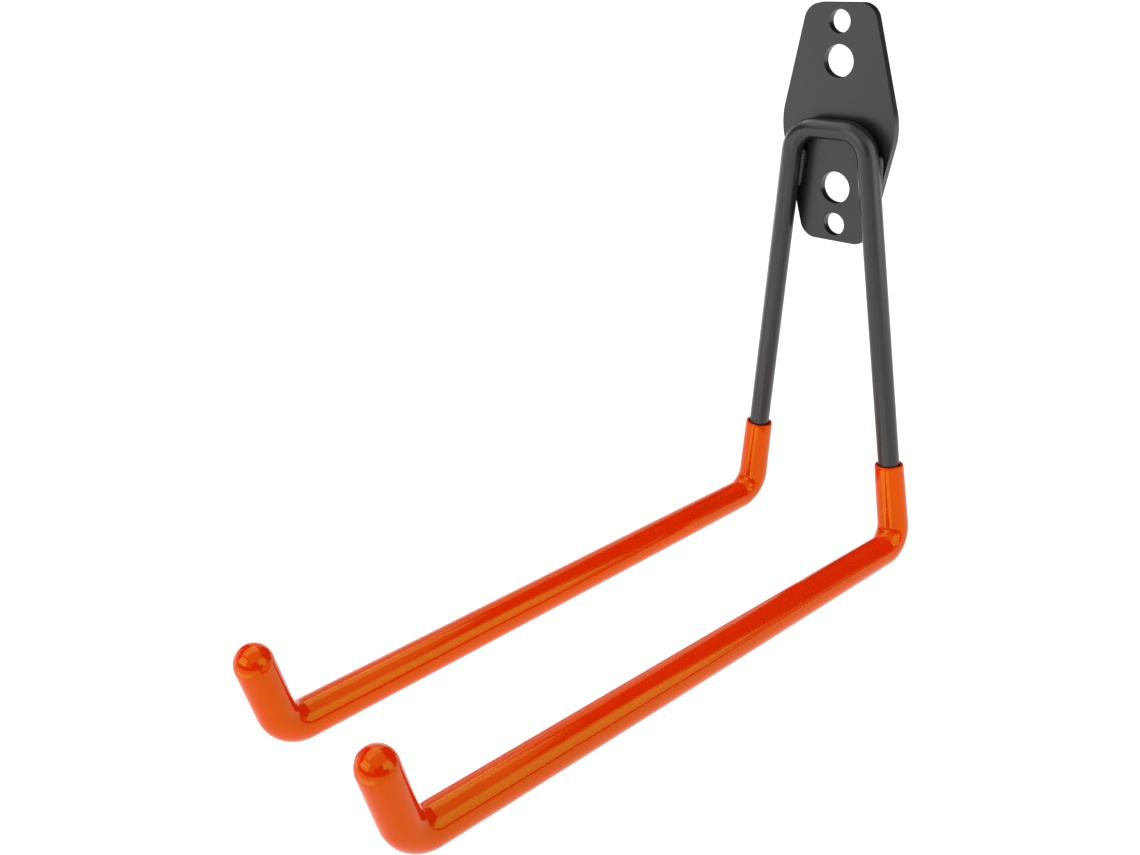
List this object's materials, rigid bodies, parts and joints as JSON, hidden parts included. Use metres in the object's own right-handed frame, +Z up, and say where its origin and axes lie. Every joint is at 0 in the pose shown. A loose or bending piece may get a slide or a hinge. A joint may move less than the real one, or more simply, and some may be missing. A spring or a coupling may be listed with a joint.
{
  "type": "bicycle wall rack",
  "caption": "Wall bicycle rack: hexagonal steel plate with screw holes, a bent steel rod welded on as parallel arms, and soft orange sleeves with upturned round tips.",
  "frame": {"origin": "centre of the plate's back face, against the wall", "axes": "+Y into the wall, +X to the right as seen from the front, +Z up; the arms reach out along -Y"},
  "size_m": [0.0852, 0.2753, 0.2225],
  "materials": {
    "plate_coat": "satin black powder coat",
    "rod_coat": "satin black powder coat",
    "sleeve": "glossy dipped PVC"
  },
  "bodies": {
    "root": {"wall_plate": "plate_coat", "bent_rod": "rod_coat", "left_arm_sleeve": "sleeve", "right_arm_sleeve": "sleeve", "left_inner_weld": "rod_coat", "left_outer_weld": "rod_coat", "right_inner_weld": "rod_coat", "right_outer_weld": "rod_coat"}
  },
  "joints": []
}
